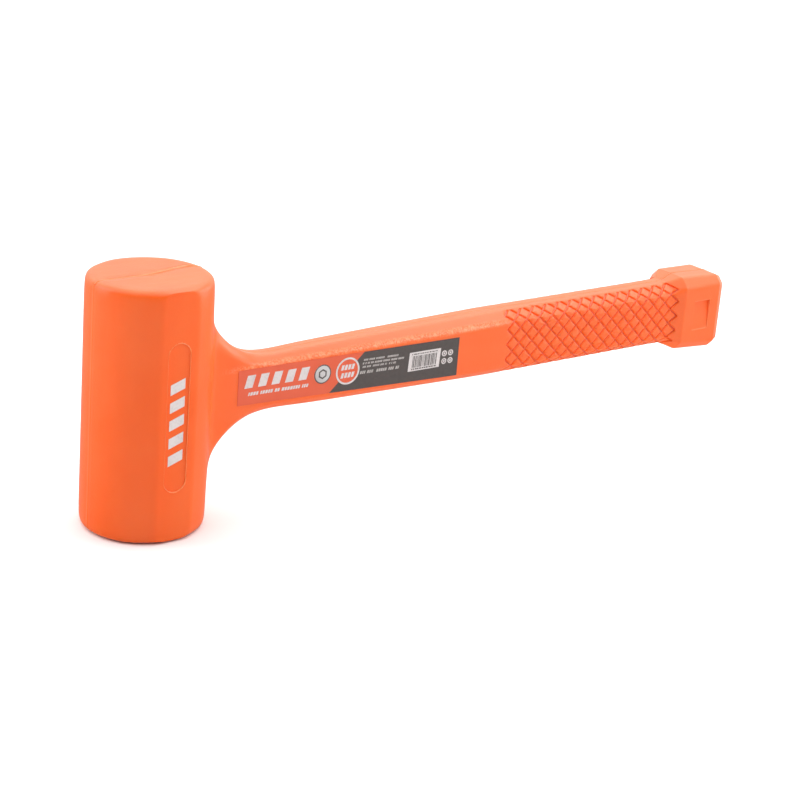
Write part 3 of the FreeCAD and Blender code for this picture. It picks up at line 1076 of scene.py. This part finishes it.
def body_plastic():
    finish = Finish("orange_pvc", Subsurface_Weight=0.15, Subsurface_Scale=0.003, IOR=1.5)
    finish.shader.inputs["Subsurface Radius"].default_value = (1.0, 0.3, 0.1)
    on_handle = finish.x.step(0.024, 0.04)
    cloud = finish.noise(26, detail=3)
    streak_x = finish.noise(75, detail=3, stretch=(0.05, 1, 1))
    streak_z = finish.noise(55, detail=3, stretch=(1, 1, 0.06))
    streak = streak_x * on_handle + streak_z * (1 - on_handle)
    recess = finish.node("Attribute", {"attribute_name": "recess"}, output="Fac")
    base = finish.mix(ORANGE, ORANGE_LIGHT, (cloud * 0.55 + streak * 0.45).step(0.35, 0.65))
    lip = finish.node("Attribute", {"attribute_name": "lip"}, output="Fac")
    base = finish.mix(base, HANDLE_ORANGE, on_handle * 0.6)
    # Painted highlight: paler orange speckles along the handle's upper fold, standing in for its sheen.
    base = finish.mix(base, FOLD_HIGHLIGHT_ORANGE, fold_highlight(finish, on_handle))
    # Painted shade in the recesses: purer orange on walls, darker and pinker orange on groove floors.
    base = finish.mix(base, RECESS_WALL_SHADE, recess.step(0.1, 0.5))
    base = finish.mix(base, GROOVE_FLOOR_SHADE, recess.step(0.7, 1.0))
    # Painted highlight: paler orange along the raised lips, the seam and the torn flash.
    base = finish.mix(base, LIP_HIGHLIGHT_ORANGE, lip.lowest(1.0) * 0.8)
    specks = finish.node("TexVoronoi", inputs={"Vector": finish.place, "Scale": 95.0})
    rare = finish.noise(41, detail=0).step(0.64, 0.68)
    base = finish.mix(base, SPECK, (1 - specks.step(0.012, 0.026)) * rare)
    peel = finish.noise(1250, detail=2)
    waves = finish.noise(170, detail=2)
    scuffs = finish.noise(420, detail=1, stretch=(0.25, 1, 1))
    finish.paint(Base_Color=base, Roughness=0.22 + 0.14 * cloud + 0.08 * scuffs)
    finish.bump(peel * 0.42 + waves * 0.4 + streak * 0.6, distance=0.00022, strength=0.6)
    return finish


body_plastic().dress(body_skin)


# %% [markdown]
# ### Label film and inks
# The film's colours meet on a slanted line, so the colour is chosen by which side of that line a point
# lies on. Print on film is glossier than the plastic. The white ink is slightly uneven, and the seal's
# disc is a soft grey gradient like stamped metal.

# %% Label film and inks
SPLIT_LOW, SPLIT_HIGH = Vector((74.75, -7.4)), Vector((90.14, 7.12))


def label_film():
    finish = Finish("label_film_print", Coat_Weight=0.35, Coat_Roughness=0.12, IOR=1.48)
    lean = (SPLIT_HIGH.x - SPLIT_LOW.x) / (SPLIT_HIGH.y - SPLIT_LOW.y)
    across = finish.x / MM - SPLIT_LOW.x - (finish.z / MM - AXIS_Z - SPLIT_LOW.y) * lean
    grain = finish.noise(900, detail=2)
    cloud = finish.noise(60, detail=2)
    red = finish.mix((0.74, 0.106, 0.042, 1), (0.80, 0.132, 0.06, 1), cloud)
    dark = finish.mix((0.085, 0.072, 0.068, 1), (0.115, 0.098, 0.092, 1), grain)
    finish.paint(Base_Color=finish.mix(red, dark, across.step(-0.04, 0.04)), Roughness=0.3 + 0.12 * cloud)
    finish.bump(grain, distance=0.00003, strength=0.4)
    return finish


def ink(name, light, dark):
    finish = Finish(name)
    wear = finish.noise(1300, detail=3)
    patch = finish.noise(240, detail=2)
    finish.paint(Base_Color=finish.mix(light, dark, (wear * 0.5 + patch * 0.5).step(0.42, 0.75)),
                 Roughness=0.42 + 0.1 * patch)
    finish.bump(wear, distance=0.00002, strength=0.4)
    return finish


def seal_metal():
    finish = Finish("seal_metal", Metallic=0.25)
    sweep = finish.node("TexWave", {"wave_type": "BANDS", "bands_direction": "DIAGONAL"},
                        {"Vector": finish.place, "Scale": 28.0, "Distortion": 2.0})
    grain = finish.noise(1800, detail=2)
    finish.paint(Base_Color=finish.mix((0.76, 0.74, 0.74, 1), (0.50, 0.48, 0.48, 1), sweep),
                 Roughness=0.3 + 0.15 * grain)
    return finish


def pieces(*names):
    """Pieces by name."""
    return [bpy.data.objects[name] for name in names]


nodes = frame["nodes"]
label_film().dress(nodes["handle_label"])
ink("white_print", (0.70, 0.65, 0.64, 1), (0.58, 0.52, 0.51, 1)).dress(
    nodes["head_print"], *pieces("label_bars", "label_tagline", "label_badge", "label_stripe_box"))
ink("grey_print", (0.50, 0.46, 0.44, 1), (0.36, 0.33, 0.31, 1)).dress(*pieces("label_small_print"))
ink("dark_print", (0.10, 0.09, 0.085, 1), (0.15, 0.13, 0.12, 1)).dress(
    *pieces("label_stripes", "label_seal_lines"))
ink("red_print", (0.74, 0.106, 0.042, 1), (0.80, 0.132, 0.06, 1)).dress(*pieces("label_badge_field"))
seal_metal().dress(*pieces("label_seal"))


# %% [markdown]
# ### Steel inside
# The canister is drawn tube with fine marks along it, the core is cold-drawn bar, the welds are dark rippled
# beads with straw and blue heat tint, and the shot is oiled and slightly dented. They are hidden while the
# mallet is whole, but the parts are there to be taken out and looked at.

# %% Steel finishes
def drawn_steel(name, light, dark, along):
    """Steel drawn along one axis: streaks of tone, roughness and relief that run that way."""
    finish = Finish(name, Metallic=1.0)
    stretch = tuple(0.02 if axis == along else 1 for axis in range(3))
    lines = finish.noise(900, detail=3, stretch=stretch)
    scale = finish.noise(70, detail=4, roughness=0.65)
    tone = finish.mix(light, dark, scale.step(0.35, 0.7))
    finish.paint(Base_Color=finish.mix(tone, dark, lines.step(0.5, 0.75) * 0.5),
                 Roughness=0.28 + 0.25 * lines + 0.1 * scale)
    finish.bump(lines, distance=0.00006, strength=0.6)
    return finish


def weld_bead():
    finish = Finish("weld_bead", Metallic=1.0)
    ripple = finish.node("TexVoronoi", {"feature": "SMOOTH_F1"},
                         {"Vector": finish.place, "Scale": 620.0, "Smoothness": 0.6})
    tint = finish.noise(160, detail=2)
    base = finish.mix((0.34, 0.32, 0.31, 1), (0.36, 0.24, 0.12, 1), tint.step(0.4, 0.55))
    base = finish.mix(base, (0.12, 0.16, 0.30, 1), tint.step(0.58, 0.7) * 0.7)
    finish.paint(Base_Color=base, Roughness=0.35 + 0.3 * ripple)
    finish.bump(ripple, distance=0.0004, strength=0.7)
    return finish


def shot_steel():
    finish = Finish("oiled_shot", Metallic=1.0)
    dents = finish.node("TexVoronoi", {"feature": "SMOOTH_F1"}, {"Vector": finish.place, "Scale": 1500.0})
    film = finish.noise(230, detail=2)
    finish.paint(Base_Color=finish.mix((0.58, 0.58, 0.60, 1), (0.34, 0.32, 0.31, 1), film.step(0.45, 0.7)),
                 Roughness=0.18 + 0.3 * film)
    finish.bump(dents, distance=0.00005, strength=0.5)
    return finish


drawn_steel("canister_steel", (0.60, 0.61, 0.63, 1), (0.36, 0.36, 0.37, 1), along=2).dress(
    nodes["canister_tube"], nodes["canister_cap_lower"], nodes["canister_cap_upper"])
drawn_steel("core_steel", (0.52, 0.52, 0.54, 1), (0.27, 0.26, 0.26, 1), along=0).dress(nodes["handle_core"])
weld_bead().dress(nodes["cap_weld_lower"], nodes["cap_weld_upper"], nodes["core_weld"])
shot_steel().dress(loose_shot)


# %% [markdown]
# ## Stage and light
# The stage is a seamless white floor under a soft dome of light. The surround is dark in front and bright
# behind, and a tall panel stands at either side, so the head is brightest at its left and right edges and
# deepest in colour where it faces the camera. A panel overhead is mirrored in the handle's upper bevel, and
# a small one in front on the right lights its fold.

# %% Stage and light
FLOOR_DROP = 0.0002


def stage_floor(radius=6.0):
    """A white floor that gloss doesn't mirror, so the plastic reflects the studio and not the paper."""
    bm = bmesh.new()
    bmesh.ops.create_circle(bm, cap_ends=True, segments=96, radius=radius)
    bmesh.ops.translate(bm, vec=(0, 0, -FLOOR_DROP), verts=bm.verts)
    mesh = bpy.data.meshes.new("studio_floor")
    bm.to_mesh(mesh)
    bm.free()
    floor = add_object("studio_floor", mesh)
    floor.visible_glossy = False
    floor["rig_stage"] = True
    finish = Finish("floor_paper", Roughness=0.9, Specular_IOR_Level=0.1)
    finish.paint(Base_Color=finish.mix((0.90, 0.90, 0.90, 1), (0.87, 0.87, 0.87, 1), finish.noise(12)))
    finish.dress(floor)


def light(kind, name, place, aim, power, **shape):
    """A light at place that faces aim."""
    data = bpy.data.lights.new(name, kind)
    data.energy = power
    for key, value in shape.items():
        setattr(data, key, value)
    lamp = add_object(name, data)
    lamp.location = place
    lamp.rotation_mode = "QUATERNION"
    lamp.rotation_quaternion = (Vector(aim) - Vector(place)).to_track_quat("-Z", "Y")


def round_the_object(azimuth, elevation, distance):
    """A place seen from the object's middle: azimuth 0 is towards -Y and 90 towards +X."""
    a, e = math.radians(azimuth), math.radians(elevation)
    direction = Vector((math.sin(a) * math.cos(e), -math.cos(a) * math.cos(e), math.sin(e)))
    return centre + direction * distance


def studio_world(dark, bright):
    """A soft surround that is dark in front, bright behind the object and dimmer below the floor."""
    world = bpy.data.worlds.new("studio")
    bpy.context.scene.world = world
    world.use_nodes = True
    nodes = Nodes(world.node_tree)
    direction = nodes.node("TexCoord", output="Generated")
    toward_back, height = (
        nodes.node("VectorMath", {"operation": "DOT_PRODUCT"}, {0: direction, 1: axis}, output="Value")
        for axis in (BEHIND, (0, 0, 1)))
    background = world.node_tree.nodes["Background"]
    around = dark + (bright - dark) * toward_back.step(-0.7, 0.5)
    nodes.feed(background.inputs["Strength"], around * (0.35 + 0.65 * height.step(-0.25, 0.0)))
    background.inputs["Color"].default_value = (1, 1, 1, 1)


BEHIND = (0.588, 0.732, 0.34)
PANELS = {
    "overhead": ((95, 58, 0.95), 1.6, (0.75, 0.5)),
    "right_panel": ((41, 24, 0.8), 1.1, (0.24, 0.3)),
    "right_wall": ((84, 6, 1.0), 1.9, (0.4, 0.7)),
    "left_panel": ((-118, 15, 1.0), 2.6, (0.4, 0.9)),
}
centre = Vector((0.11, 0, AXIS_Z * MM))
stage_floor()
studio_world(dark=0.03, bright=1.05)
light("SUN", "dome", centre + Vector((-0.2, 0.3, 2)), centre, 2.3, angle=math.radians(120))
for name, (place, power, (width, height)) in PANELS.items():
    light("AREA", name, round_the_object(*place), centre, power, shape="RECTANGLE", size=width, size_y=height)
print("lights:", ", ".join(["dome", *PANELS]))

# %% [markdown]
# ## Camera
# The camera looks down at 20 degrees with a long lens, as for a catalogue picture, and leans a little.

# %% Camera
CAMERA_PLACE = Vector((-0.36424, -0.59608, 0.30786))
AZIMUTH, ELEVATION, ROLL = (math.radians(angle) for angle in (-38.782, 20.122, 4.665))
outward = Vector((math.sin(AZIMUTH), -math.cos(AZIMUTH), 0))
back = outward * math.cos(ELEVATION) + Vector((0, 0, math.sin(ELEVATION)))
level = Vector((math.cos(AZIMUTH), math.sin(AZIMUTH), 0))
right = math.cos(ROLL) * level + math.sin(ROLL) * back.cross(level)
lens = bpy.data.cameras.new("camera")
lens.lens, lens.sensor_width, lens.clip_start, lens.clip_end = 94.45, 36.0, 0.05, 50.0
camera = add_object("camera", lens)
camera.matrix_world = Matrix((right, back.cross(right), back)).transposed().to_4x4()
camera.location = CAMERA_PLACE
bpy.context.scene.camera = camera
bpy.context.scene.view_settings.view_transform = "Standard"
print("camera looks down by", round(math.degrees(ELEVATION), 1), "degrees from", tuple(CAMERA_PLACE))

# %% [markdown]
# ## The two boxes and finish
# The box of what is shown is printed beside the CAD's. The looks may not change the object's size.

# %% Sizes and finish
bpy.context.view_layer.update()
shown_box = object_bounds()
for name, corners in (("CAD", cad_box), ("shown", shown_box)):
    print(name, [[round(c / MM, 2) for c in corner] for corner in corners])
